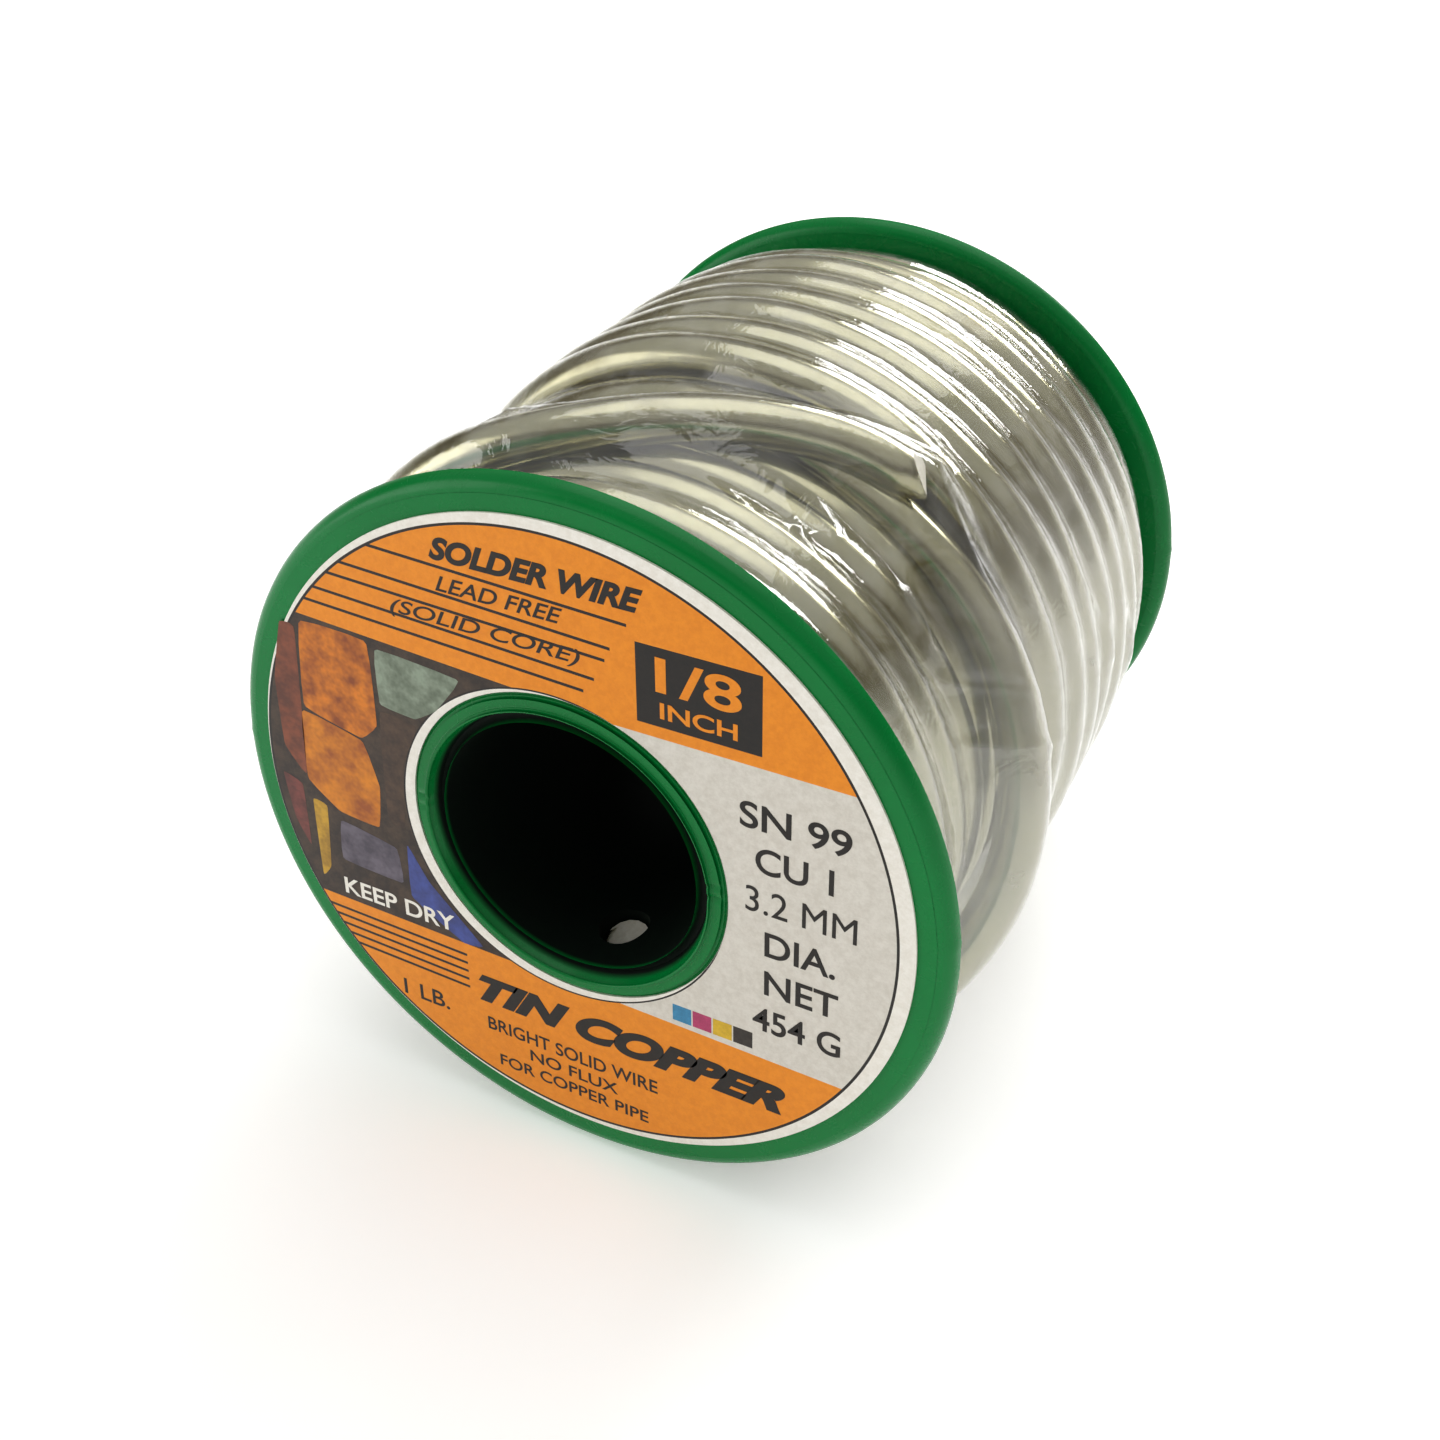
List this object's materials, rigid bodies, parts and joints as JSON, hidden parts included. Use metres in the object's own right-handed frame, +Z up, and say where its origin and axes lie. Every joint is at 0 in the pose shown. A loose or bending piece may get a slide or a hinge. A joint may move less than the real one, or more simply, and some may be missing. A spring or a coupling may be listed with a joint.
{
  "type": "solder wire spool",
  "caption": "Moulded spool with two round flanges and an open bore, wound with thick solid solder wire under clear film, with a printed ring label.",
  "frame": {"origin": "on the surface that the rims rest on, under the middle of the spool", "axes": "+Z up, the spool's axis along Y, the labelled end facing -Y"},
  "size_m": [0.0508, 0.0532, 0.0508],
  "materials": {
    "spool_plastic": "glossy injection-moulded green polystyrene",
    "solder_wire": "bright drawn tin-copper solder, slightly dulled",
    "clear_film": "clear shrink film with creases",
    "label_paper": "printed coated paper label"
  },
  "bodies": {
    "root": {"spool_body": "spool_plastic", "wire_start": "solder_wire", "wire_layer_1": "solder_wire", "wire_layer_2": "solder_wire", "wire_layer_3": "solder_wire", "wire_layer_4": "solder_wire", "wire_layer_5": "solder_wire", "wire_tail": "solder_wire", "shrink_film": "clear_film", "front_label": "label_paper"}
  },
  "joints": []
}
